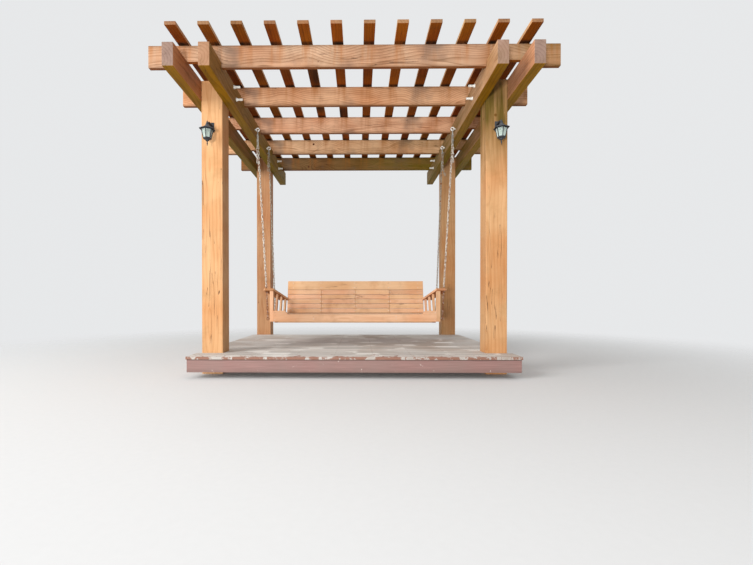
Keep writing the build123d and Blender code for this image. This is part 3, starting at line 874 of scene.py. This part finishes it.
arm_level = joints["bench_on_front_chains"][2]
hang_pair("front_chain_swing", "front_chain", True, ((6, 0), (6, 0)), ARM_X, arm_level, chain_zinc)
hang_pair("rear_chain_swing", "rear_chain", False, ((7, 0), (9, 9)), REAR_RING_X, RING_BEARING,
          shaded_zinc)

SIDE_X, SIDE_Y = 0.895, -0.295
SIDE_RAIL_THICK = 0.038
FRONT_EYE_ALONG = 0.0203
side_frame = move(SIDE_X, SIDE_Y, 0) @ turn(TOE_IN, "Z")
ring = side_frame @ Vector((SIDE_RAIL_THICK + EYE_REACH, FRONT_EYE_ALONG, BENCH_EYE_LEVEL))
front_y = joints["front_chain_swing"][1]
lower = bmesh.new()
for side in (-1, 1):
    hang_chain(lower, link, (side * ARM_X, front_y, arm_level), (side * ring.x, ring.y, RING_BEARING), 0)
make_piece(lower, "bench_arm_chain_links", "bench", rusty_zinc, smooth=60,
           instead_of=("bench_arm_chains",))

# %% [markdown]
# ## Eye bolts
# The eyes in the roof are forged from 12 mm round bar and those on the bench from 8 mm bar, each
# on a threaded shank with a washer against the timber. The ring is one circle spun right round.

# %% Eye bolts
def eye_bolt(bm, radius, thick):
    """An eye on a threaded shank along X, standing out from a face at zero."""
    ring_of_wire(bm, radius, thick, 28, 10)
    bmesh.ops.translate(bm, vec=(EYE_REACH, 0, 0), verts=bm.verts)
    washer(bm, 0.010, 0.002, turn(90, "Y"))
    threaded_rod(bm, thick * 0.42, 0.001, EYE_REACH - radius, turn(90, "Y"), pitch=0.0015)


roof_eye = template(eye_bolt, EYE_RADIUS, EYE_BAR)
bench_eye = template(eye_bolt, BENCH_EYE_RADIUS, BENCH_EYE_BAR)
roof_eyes, bench_eyes = bmesh.new(), bmesh.new()
rear_y = joints["rear_chain_swing"][1]
for side in (-1, 1):
    for _, wire_y, wire_z in (joints["front_chain_swing"], joints["rear_chain_swing"]):
        place = move(face_x, wire_y, wire_z + EYE_RADIUS)
        stamp(roof_eyes, roof_eye, mirror_x(side) @ place @ turn(180, "Z"))
    front_place = side_frame @ move(SIDE_RAIL_THICK, FRONT_EYE_ALONG, BENCH_EYE_LEVEL)
    rear_place = move(REAR_RING_X - EYE_REACH, rear_y, BENCH_EYE_LEVEL)
    for place in (front_place, rear_place):
        stamp(bench_eyes, bench_eye, mirror_x(side) @ place)
make_piece(roof_eyes, "roof_eyes_forged", "pergola", bright_zinc,
           instead_of=("roof_eye_bolts",))
make_piece(bench_eyes, "bench_eyes_forged", "bench", rusty_zinc,
           instead_of=("bench_eye_bolts",))

# %% [markdown]
# ## Through-bolts
# Two long threaded rods tie the carriers to each post. Their tails stand well out of the inner
# carriers with a washer and nut against the timber; outside, only a short tip shows.

# %% Through-bolts
ROD = 0.0105
TAIL, TIP_OUT = 0.058, 0.014
NUT_WIDE, INNER_NUT, OUTER_NUT = 0.024, 0.012, 0.010
WASHER_RADIUS, WASHER_THICK = 0.017, 0.003
BOLT_PLACES = ((-0.041, 2.612), (0.038, 2.535))
inner_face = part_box("right_inner_carrier")[0][0]
carriers_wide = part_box("right_outer_carrier")[1][0] - inner_face


def through_bolt(bm):
    """The two ends of a rod along X that show, with washers and nuts; the inner face is at zero."""
    threaded_rod(bm, ROD, -TAIL, 0.004, turn(90, "Y"))
    threaded_rod(bm, ROD, carriers_wide - 0.004, carriers_wide + TIP_OUT, turn(90, "Y"))
    for face, out, nut in ((0, -1, INNER_NUT), (carriers_wide, 1, OUTER_NUT)):
        washer(bm, WASHER_RADIUS, WASHER_THICK, move(face, 0, 0) @ turn(90 * out, "Y"))
        hex_nut(bm, NUT_WIDE, nut, move(face + WASHER_THICK * out, 0, 0) @ turn(90 * out, "Y"))


bolt = template(through_bolt)
bolts = bmesh.new()
for side in (-1, 1):
    for post in ("front_right_post", "rear_right_post"):
        for back, height in BOLT_PLACES:
            place = move(inner_face, middle_of(post)[1] + back, height)
            stamp(bolts, bolt, mirror_x(side) @ place)
make_piece(bolts, "carrier_through_bolts", "pergola", bright_zinc)

# %% [markdown]
# ## Black lanterns
# Powder-coated steel has a fine orange-peel skin and a satin sheen. Its upward faces are
# grey-blue: a painted reflection of the sky, broken up by a little dust. The roof and cap are
# six-sided, with one corner to the front: the same spin that turns a round part makes a hexagon
# when it takes only six steps. A bent strap carries the roof from a small plate on the post.

# %% Black powder coat
black_coat, tree, here = new_material("satin_black_powder_coat_steel")
normal = add(tree, "TexCoord", out="Normal")
upward = add(tree, "SeparateXYZ", inputs={0: normal}).node.outputs[2]
peel = add(tree, "TexNoise", None, {"Vector": here, "Scale": 700.0, "Detail": 2.0})
dust = add(tree, "TexNoise", None, {"Vector": here, "Scale": 40.0, "Detail": 4.0})
# Upward faces turn grey-blue: a painted reflection of the sky, broken up by dust
dust_and_sky_reflection = add(tree, "MapRange", None, {0: upward, 1: 0.0, 2: 0.9, 3: 0.15, 4: 0.9})
dust_and_sky_reflection = add(tree, "Math", MULTIPLY, {0: dust_and_sky_reflection, 1: dust})
skin = lay_over(tree, colour("#222326"), (dust_and_sky_reflection, "#7A8088"))
rough = add(tree, "MapRange", None, {0: dust, 3: 0.48, 4: 0.68})
finish_solid(tree, skin, rough, peel, 0.25, 0.2, {"Specular IOR Level": 0.3})
print("coat:", black_coat.name)

# %% Lantern metal
lantern_low, lantern_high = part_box("right_lantern")
lantern_x = (lantern_low[0] + lantern_high[0]) / 2
STAND_OFF = 0.120
lantern_y = lantern_high[1] - STAND_OFF
TIP = lantern_low[2]
BRIM = TIP + 0.141
CASE_FOOT = BRIM - 0.080
GLASS_TOP, GLASS_FOOT = 0.050, 0.033
PLATE = (0.042, 0.006, 0.088)
STRAP_WIDE, STRAP_THICK, STRAP_RADIUS = 0.022, 0.009, 0.026


def strut(bm, start, end, thick):
    """A slim square bar between two points."""
    line = end - start
    place = move(*((start + end) / 2)) @ upright_to(line)
    bar(bm, (thick, thick, line.length), place, 0.0006)


def lantern_metal(bm):
    """Everything of a lantern but its glass and lamp, with its axis at the origin."""
    roof = [(0, 0.004), (0.056, 0.003), (0.069, 0.0), (0.0705, 0.003), (0.066, 0.008),
            (0.046, 0.016), (0.029, 0.025), (0.017, 0.037), (0.0125, 0.050), (0, 0.052)]
    lathe(bm, roof, 6, move(0, 0, BRIM))
    spike = [(0, 0), (0.008, 0), (0.009, 0.004), (0.0055, 0.009), (0.0035, 0.018),
             (0.005, 0.021), (0.002, 0.026), (0.0006, 0.033), (0, 0.033)]
    lathe(bm, spike, 12, move(0, 0, BRIM + 0.050))
    cap = [(0, -0.020), (0.010, -0.020), (0.016, -0.017), (0.019, -0.011), (0.028, -0.005),
           (0.037, -0.002), (0.037, 0.003), (0.028, 0.004), (0, 0.004)]
    lathe(bm, cap, 6, move(0, 0, CASE_FOOT))
    knob = [(0, 0), (0.0024, 0.0005), (0.003, 0.010), (0.005, 0.017), (0.0058, 0.022),
            (0.0045, 0.027), (0.003, 0.031), (0.005, 0.035), (0.008, 0.040), (0, 0.041)]
    lathe(bm, knob, 12, move(0, 0, TIP))
    for corner in range(6):
        spot = turn(60 * corner, "Z")
        foot, top = (GLASS_FOOT, 0, CASE_FOOT + 0.002), (GLASS_TOP, 0, BRIM + 0.001)
        strut(bm, spot @ Vector(foot), spot @ Vector(top), 0.006)
        facet = turn(60 * corner + 30, "Z")
        for radius, level in ((GLASS_TOP, BRIM - 0.002), (GLASS_FOOT, CASE_FOOT + 0.006)):
            flat = radius * cos(radians(30))
            bar(bm, (0.004, radius, 0.004), facet @ move(flat, 0, level), 0.0005)


def wall_bracket(bm):
    """A small plate on the post, and a strap bent up and over to the top of the lantern's roof."""
    plate_face = STAND_OFF - PLATE[1]
    bar(bm, PLATE, move(0, STAND_OFF - PLATE[1] / 2, BRIM + 0.064), 0.002)
    foot, centre = (0, 0.004, BRIM + 0.048), (0, 0.004 + STRAP_RADIUS, BRIM + 0.048)
    section = Matrix.Diagonal((STRAP_WIDE, STRAP_THICK, 1, 1))
    start = bmesh.ops.create_grid(bm, x_segments=1, y_segments=1, size=0.5, matrix=move(*foot) @ section)
    bent = bmesh.ops.spin(bm, geom=list(start["verts"][0].link_faces), cent=centre, axis=(1, 0, 0),
                          angle=-pi / 2, steps=8)["geom_last"]
    crown = list(set.intersection(*[set(v.link_faces) for v in points_of(bent)]))
    ahead = points_of(bmesh.ops.extrude_face_region(bm, geom=crown)["geom"])
    bmesh.ops.translate(bm, vec=(0, plate_face - centre[1], 0), verts=ahead)
    for level in (0.030, 0.098):
        screw = [(0, 0), (0.0045, 0), (0.0035, 0.0022), (0, 0.003)]
        lathe(bm, screw, 12, move(0, plate_face, BRIM + level) @ turn(90, "X"))


lantern_template = template(lantern_metal)
bracket_template = template(wall_bracket)
for side, name in ((-1, "left_lantern"), (1, "right_lantern")):
    body = bmesh.new()
    place = move(side * lantern_x, lantern_y, 0)
    stamp(body, lantern_template, place @ turn(30, "Z"))
    stamp(body, bracket_template, place)
    make_piece(body, name + "_metal", "pergola", black_coat, smooth=25,
               instead_of=(name,))

# %% [markdown]
# ## Lantern glass and lamp
# The panes are seeded glass: small bubbles and a slight ripple, a touch green, with dust in the
# lower corners. Six flat panes come from the six-step spin of one slanted line, given a
# thickness by solidify. A white candle tube with a frosted lamp stands on the cap.

# %% Glass and lamp finishes
seeded_glass, tree, here = new_material("seeded_lantern_glass")
ripple = add(tree, "TexNoise", None, {"Vector": here, "Scale": 90.0, "Detail": 2.0})
seeds = add(tree, "TexVoronoi", None, {"Vector": here, "Scale": 1000 / 7})
seeds = add(tree, "MapRange", None, {0: seeds, 1: 0.0, 2: 0.25, 3: 1.0, 4: 0.0})
height = add(tree, "Math", ADD, {0: ripple, 1: seeds})
bump = add(tree, "Bump", None, {"Strength": 0.35, "Distance": 0.6 * MM, "Height": height})
clear = add(tree, "BsdfPrincipled", None,
            {"Base Color": colour("#DCE6DA"), "Roughness": 0.08, "Transmission Weight": 1.0, "Normal": bump})
grime = add(tree, "BsdfDiffuse", None, {"Color": colour("#C4D1CA"), "Roughness": 1.0})
level = add(tree, "SeparateXYZ", inputs={0: here}).node.outputs[2]
film = add(tree, "MapRange", None, {0: level, 1: CASE_FOOT, 2: BRIM, 3: 0.85, 4: 0.40})
spots = add(tree, "MapRange", None, {0: ripple, 3: 0.6, 4: 1.4})
film = add(tree, "Math", {"operation": "MULTIPLY", "use_clamp": True}, {0: film, 1: spots})
dusty_glass = add(tree, "MixShader", None, {0: film, 1: clear, 2: grime})
add(tree, "OutputMaterial", inputs={"Surface": dusty_glass})

frosted, tree, here = new_material("frosted_lamp_and_candle_tube")
cloud = add(tree, "TexNoise", None, {"Vector": here, "Scale": 120.0, "Detail": 2.0})
tint = lay_over(tree, colour("#F1EFE6"), (cloud, "#D8D4C6"))
rough = add(tree, "MapRange", None, {0: cloud, 3: 0.25, 4: 0.45})
finish_solid(tree, tint, rough, cloud, 0.2, 0.2)
print("glass and lamp:", seeded_glass.name, "and", frosted.name)

# %% Lantern glass and lamp
def six_panes(bm):
    """The glass of one lantern, set just inside its corner bars."""
    lathe(bm, [(GLASS_FOOT - 0.004, CASE_FOOT + 0.004), (GLASS_TOP - 0.004, BRIM)], 6)
    bmesh.ops.recalc_face_normals(bm, faces=bm.faces)
    bmesh.ops.solidify(bm, geom=bm.faces[:], thickness=0.0025)


def candle_lamp(bm):
    """A tube with a pointed lamp on it."""
    lathe(bm, [(0, 0.004), (0.010, 0.004), (0.010, 0.034), (0.0075, 0.035), (0.0085, 0.040),
               (0.011, 0.048), (0.0095, 0.058), (0.004, 0.069), (0, 0.072)], 16)


glass_template, lamp_template = template(six_panes), template(candle_lamp)
panes, lamps = bmesh.new(), bmesh.new()
for side in (-1, 1):
    stamp(panes, glass_template, move(side * lantern_x, lantern_y, 0) @ turn(30, "Z"))
    stamp(lamps, lamp_template, move(side * lantern_x, lantern_y, CASE_FOOT))
make_piece(panes, "lantern_panes", "pergola", seeded_glass, smooth=0,
           instead_of=("lantern_glass",))
make_piece(lamps, "lantern_lamps", "pergola", frosted)

# %% [markdown]
# ## The bench back
# The top board runs the whole width. Each narrow row is cut into four boards that butt together
# over the middle supports with a gap of 2 mm. Every board carries its own random colour in an
# attribute named board, so that the grain starts afresh on each.

# %% Bench back
BACK_RAKE = 12
BACK_HALF = 0.825
BACK_THICK = 0.018
BUTT_GAP = 0.002
SEAMS = (-0.412, 0.0, 0.412)
back_frame = move(0, 0.195, 0.513) @ turn(-BACK_RAKE, "X")
# Where each row starts up the back, and how high it is: five narrow ones and the wide board
rows = [(0.003 + number * 0.0572, 0.0537) for number in range(5)] + [(0.289, 0.108)]
back_finish = timber("planed_fir_bench_back", "X", middle=middle_of("bench_back_slats"), rings_mm=12,
                     pith_mm=(45, 30), board_attribute="board", spread=0.06, **BENCH_GRAIN)
boards = bmesh.new()
layer = boards.loops.layers.float_color.new("board")
for number, (start, high) in enumerate(rows):
    seams = SEAMS if number < 5 else ()
    cuts = [-BACK_HALF, *seams, BACK_HALF]
    for part, (left, right) in enumerate(zip(cuts, cuts[1:])):
        left += BUTT_GAP / 2 * (left in seams)
        right -= BUTT_GAP / 2 * (right in seams)
        known = set(boards.faces)
        place = back_frame @ move((left + right) / 2, BACK_THICK / 2, start + high / 2)
        bar(boards, (right - left, BACK_THICK, high), place, 0.0025)
        lot = 1 + 4 * number + part
        shade = (lot * 0.618 % 1, lot * 0.414 % 1, lot * 0.732 % 1, 1.0)
        for face in set(boards.faces) - known:
            for loop in face.loops:
                loop[layer] = shade
make_piece(boards, "bench_back_boards", "bench", back_finish, smooth=0,
           instead_of=("bench_back_slats",))

# %% [markdown]
# ## Screws
# Galvanised deck screws hold every board. A head is a shallow dished disc of 32 faces, because
# there are several hundred: a profile of five points spun in eight steps.

# %% Deck and roof screws
DECK_BOARDS, DECK_GAP = 16, 0.005
DECK_JOISTS, JOIST_THICK = 8, 0.038


def screw_head(bm):
    """A screw head 9 mm across with a small recess, its axis along Z."""
    lathe(bm, [(0, -0.0006), (0.0016, -0.0004), (0.0024, 0.0005), (0.0045, 0.0001), (0.0045, -0.0006)], 8)


head = template(screw_head)
deck_screws, roof_screws, bench_screws = bmesh.new(), bmesh.new(), bmesh.new()
deck_low, deck_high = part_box("deck_boards")
deck_start, deck_pitch = evenly("deck_boards", 1, DECK_BOARDS, DECK_GAP)
joist_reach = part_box("deck_joists")[1][0] - JOIST_THICK / 2
for row in range(DECK_BOARDS):
    middle = deck_start + deck_pitch * (row + 0.5)
    for joist in range(DECK_JOISTS):
        x = joist_reach * (2 * joist / (DECK_JOISTS - 1) - 1)
        for offset in (-0.045, 0.045):
            stamp(deck_screws, head, move(x, middle + offset, deck_high[2]))
make_piece(deck_screws, "deck_screws", "pergola", rusty_zinc)

# The heads on the roof are sunk, so that they stand only 0.1 mm above the rafters
SUNK_MM = 0.4
roof_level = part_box("rafters")[1][2] - SUNK_MM * MM
for rafter in range(12):
    x = RAFTER_PITCH * (rafter - 5.5)
    for beam in range(5):
        for offset in (-0.024, 0.024):
            stamp(roof_screws, head, move(x + offset, BEAM_PITCH * (beam - 2), roof_level))
make_piece(roof_screws, "roof_screws", "pergola", chain_zinc)

# %% Bench screws
ARM_SLOPE = 11.3
facing_front = turn(90, "X")
for number, (start, high) in enumerate(rows):
    levels = [start + high / 2] if number < 5 else [start + 0.025, start + high - 0.025]
    for level in levels:
        for seam in (-0.760, *SEAMS, 0.760):
            for offset in ((-0.011, 0.011) if seam in SEAMS else (0.0,)):
                stamp(bench_screws, head, back_frame @ move(seam + offset, 0, level) @ facing_front)
rail_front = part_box("bench_front_rail")[0][1]
rail_screws = ((0.876, 0.452), (0.876, 0.530), (0.450, 0.462), (0.450, 0.488))
seat_start, seat_pitch = evenly("bench_seat_slats", 1, SEAT_SLATS, SEAT_GAP)
seat_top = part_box("bench_seat_slats")[1][2]
for row in range(SEAT_SLATS):
    middle = seat_start + seat_pitch * (row + 0.5)
    side_x = SIDE_X - (middle - SIDE_Y) * tan(radians(TOE_IN)) - 0.020
    for x in (-side_x, -0.450, 0.038, 0.450, side_x):
        stamp(bench_screws, head, move(x, middle, seat_top))
arm_frame = side_frame @ move(0, -0.010, 0.797) @ turn(-ARM_SLOPE, "X")
arm_screws = ((0.019, 0.022), (0.019, 0.037), (0.0095, 0.1825), (0.0095, 0.327), (0.0095, 0.472))
for side in (-1, 1):
    for x, level in rail_screws:
        stamp(bench_screws, head, move(side * x, rail_front, level) @ facing_front)
    for across, along in arm_screws:
        stamp(bench_screws, head, mirror_x(side) @ arm_frame @ move(across, along, 0.0))
make_piece(bench_screws, "bench_screws", "bench", chain_zinc)

# %% [markdown]
# ## The deck
# The deck was painted once and the paint has mostly gone. What shows is silver-grey softwood
# with fine open grain and almost white patches, partly bleached wear and partly painted patches
# of sunlight; along the front edge the old red-brown coat still peels off a white primer. The
# fascia below keeps a dull purple brown, with painted shadow in black along its top.

# %% Worn deck boards
def worn_deck(name, row):
    """Weathered grey deck boards running along X, with the remains of paint on the front edges."""
    material, tree, here = new_material(name)
    normal = add(tree, "TexCoord", out="Normal")
    split = add(tree, "SeparateXYZ", inputs={0: here}).node.outputs
    facing = add(tree, "SeparateXYZ", inputs={0: normal}).node.outputs
    within, chance = number_boards(tree, split[1], row, 5.0)
    lot = add(tree, "SeparateXYZ", inputs={0: chance}).node.outputs
    run = add(tree, "Math", MULTIPLY_ADD, {0: lot[0], 1: 7.0, 2: split[0]})
    grain = add(tree, "CombineXYZ", inputs={0: run, 1: within, 2: split[2]})
    fibre = stretched_noise(tree, grain, (5.0, 210.0, 210.0), 3.0)
    streak = stretched_noise(tree, grain, (1.6, 26.0, 26.0), 4.0, 0.65)
    shade = add(tree, "Math", MULTIPLY_ADD, {0: fibre, 1: 0.6, 2: streak})
    shade = add(tree, "MapRange", None, {0: shade, 1: 0.55, 2: 1.05})
    warm = patches(tree, here, 1.7, 3.0, 0.5, 0.68, 0.5)
    wood = lay_over(tree, colour("#F3EEE7"), (shade, "#C5BDB5"), (warm, "#A58870"))
    value = add(tree, "MapRange", None, {0: lot[2], 3: 0.88, 4: 1.1})
    wood = add(tree, "HueSaturation", None, {"Value": value, "Color": wood})

    # White lengths, each as wide as its board and ragged at its ends: partly bleached wear, partly
    # painted patches of sunlight
    ragged = stretched_noise(tree, grain, (9.0, 24.0, 24.0), 5.0)
    wear_and_sunlight = add(tree, "Math", MULTIPLY_ADD, {0: ragged, 1: 0.28, 2: run})
    wear_and_sunlight = add(tree, "TexNoise", {"noise_dimensions": "1D"}, {"W": wear_and_sunlight, "Scale": 2.3, "Detail": 2.0})
    wear_and_sunlight = add(tree, "Math", MULTIPLY_ADD, {0: ragged, 1: 0.26, 2: wear_and_sunlight})
    patch = add(tree, "MapRange", None, {0: wear_and_sunlight, 1: 0.72, 2: 0.77, 3: 0.0, 4: 0.85})

    # The old coat: everywhere on the front edges, and in flakes near them on top
    front = add(tree, "MapRange", None, {0: facing[1], 1: -0.5, 2: -0.8})
    flakes = add(tree, "TexNoise", None, {"Vector": here, "Scale": 14.0, "Detail": 6.0, "Roughness": 0.7})
    near = add(tree, "MapRange", None,
               {0: split[1], 1: deck_low[1] + 0.20, 2: deck_low[1], 3: 0.32, 4: 0.45})
    left = add(tree, "Math", MULTIPLY_ADD, {0: front, 1: 0.10, 2: near})
    coat = add(tree, "Math", SUBTRACT, {0: left, 1: flakes})
    coat_on = add(tree, "MapRange", None, {0: coat, 1: 0.0, 2: 0.02})
    primer = add(tree, "MapRange", None, {0: coat, 1: -0.035, 2: -0.025})
    primer = add(tree, "Math", MULTIPLY, {0: primer, 1: front})
    red = lay_over(tree, colour("#B0694A"), (fibre, "#8C4E36"))
    edge = add(tree, "Math", {"operation": "ABSOLUTE"}, {0: within})
    edge = add(tree, "MapRange", None,
               {0: edge, 1: row[1] / 2 - 0.010, 2: row[1] / 2 - 0.002, 3: 0.0, 4: 0.6})
    wood = lay_over(tree, wood, (patch, "#FAF7F0"), (primer, "#E9E4DC"), (coat_on, red), (edge, "#6A5F56"))

    rough = add(tree, "MapRange", None, {0: shade, 3: 0.72, 4: 0.9})
    relief = add(tree, "Math", MULTIPLY_ADD, {0: coat_on, 1: 1.2, 2: shade})
    finish_solid(tree, wood, rough, relief, 0.6, 1.0)
    return material


soften(dress("deck_boards", worn_deck("weathered_painted_deck_boards", (deck_start, deck_pitch))), 3)
print("deck boards", round(deck_pitch * 1000), "mm apart")

# %% Faded fascia
def faded_fascia(name, fascia_top):
    """Dull purple-brown stain on sawn boards, flaked in specks, with painted shadow in black at the top."""
    material, tree, here = new_material(name)
    level = add(tree, "SeparateXYZ", inputs={0: here}).node.outputs[2]
    fibre = stretched_noise(tree, here, (4.0, 60.0, 160.0), 4.0)
    cloud = patches(tree, here, 3.0, 3.0, 0.4, 0.7, 0.5)
    flake = patches(tree, here, 22.0, 5.0, 0.665, 0.69, roughness=0.7)
    splash = add(tree, "MapRange", None, {0: level, 1: 0.10, 2: 0.02, 3: 0.0, 4: 0.6})
    # Painted shadow: a black band along the top, under the deck boards' overhang
    under = add(tree, "MapRange", None,
                {0: level, 1: fascia_top - 0.012, 2: fascia_top - 0.003, 3: 0.0, 4: 0.8})
    stain = lay_over(tree, colour("#9C7770"), (fibre, "#6C4E49"), (cloud, "#7B6A62"), (flake, "#D9D0C6"),
                     (splash, "#574740"), (under, "#2E211E"))
    rough = add(tree, "MapRange", None, {0: fibre, 3: 0.6, 4: 0.85})
    finish_solid(tree, stain, rough, fibre, 0.5, 0.8)
    return material


deck_frame = ("deck_front_fascia", "deck_rear_fascia", "deck_side_fascias", "deck_joists", "deck_bearers")
fascia_finish = faded_fascia("faded_brown_stained_fascia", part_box("deck_front_fascia")[1][2])
for name in deck_frame:
    soften(dress(name, fascia_finish), 2)
print("fascias and frame dressed:", len(deck_frame))

# %% [markdown]
# ## Floor and light
# A pale floor disc carries the shadow and fades out with distance into the background, so no
# horizon cuts the picture. The world gives soft light from everywhere, one large lamp at the
# left front adds the direction that makes edges readable, and a low lamp far in front reaches
# in under the roof, as light from a bright lawn does.

# %% World and floor
FLOOR_RADIUS = 14.0
FADE_FROM, FADE_TO = 2.2, 6.5
scene = bpy.context.scene
scene.view_settings.view_transform = "Standard"
world = bpy.data.worlds.new("studio")
scene.world = world
world.use_nodes = True
world.node_tree.nodes.clear()
tree = world.node_tree
rays = add(tree, "LightPath").node.outputs
seen = rays["Is Camera Ray"]
for kind in ("Is Glossy Ray", "Is Transmission Ray"):
    seen = add(tree, "Math", {"operation": "MAXIMUM"}, {0: seen, 1: rays[kind]})
light = add(tree, "Background", None, {"Color": (1.0, 1.0, 1.0, 1.0), "Strength": 0.5})
backdrop = add(tree, "Background", None, {"Color": (0.80, 0.81, 0.82, 1.0), "Strength": 1.0})
mixed = add(tree, "MixShader", None, {0: seen, 1: light, 2: backdrop})
add(tree, "OutputWorld", inputs={"Surface": mixed})

floor_finish, tree, here = new_material("pale_studio_floor")
outward = add(tree, "VectorMath", {"operation": "LENGTH"}, {0: here}, out="Value")
fade = add(tree, "MapRange", SMOOTH, {0: outward, 1: FADE_FROM, 2: FADE_TO})
grit = add(tree, "TexNoise", None, {"Vector": here, "Scale": 30.0})
matt = add(tree, "BsdfDiffuse", None, {"Color": lay_over(tree, colour("#F4F4F3"), (grit, "#F0F0EF"))})
gone = add(tree, "BsdfTransparent")
faded = add(tree, "MixShader", None, {0: fade, 1: matt, 2: gone})
add(tree, "OutputMaterial", inputs={"Surface": faded})
disc = bmesh.new()
bmesh.ops.create_circle(disc, cap_ends=True, segments=96, radius=FLOOR_RADIUS, matrix=move(0, 0, -MM))
floor_mesh = as_mesh(disc, "studio_floor")
floor_mesh.materials.append(floor_finish)
floor = bpy.data.objects.new("studio_floor", floor_mesh)
bpy.context.collection.objects.link(floor)
print("the floor fades out between", FADE_FROM, "and", FADE_TO, "m")

# %% Lamps
def soft_lamp(name, place, wide, watts, aim):
    """A round area lamp that points at a place and doesn't show in the picture."""
    data = bpy.data.lights.new(name, "AREA")
    data.shape = "DISK"
    data.size = wide
    data.energy = watts
    lamp = bpy.data.objects.new(name, data)
    lamp.location = place
    lamp.rotation_euler = (Vector(aim) - lamp.location).to_track_quat("-Z", "Y").to_euler()
    lamp.visible_camera = False
    bpy.context.collection.objects.link(lamp)
    print(name, "gives", watts, "watts")


soft_lamp("large_soft_lamp", (-9.0, -7.8, 4.0), 7.0, 1250, (0, 0, 1.2))
soft_lamp("low_front_lamp", (-1.2, -7.6, 0.5), 0.9, 440, (0, -4.6, 4.5))
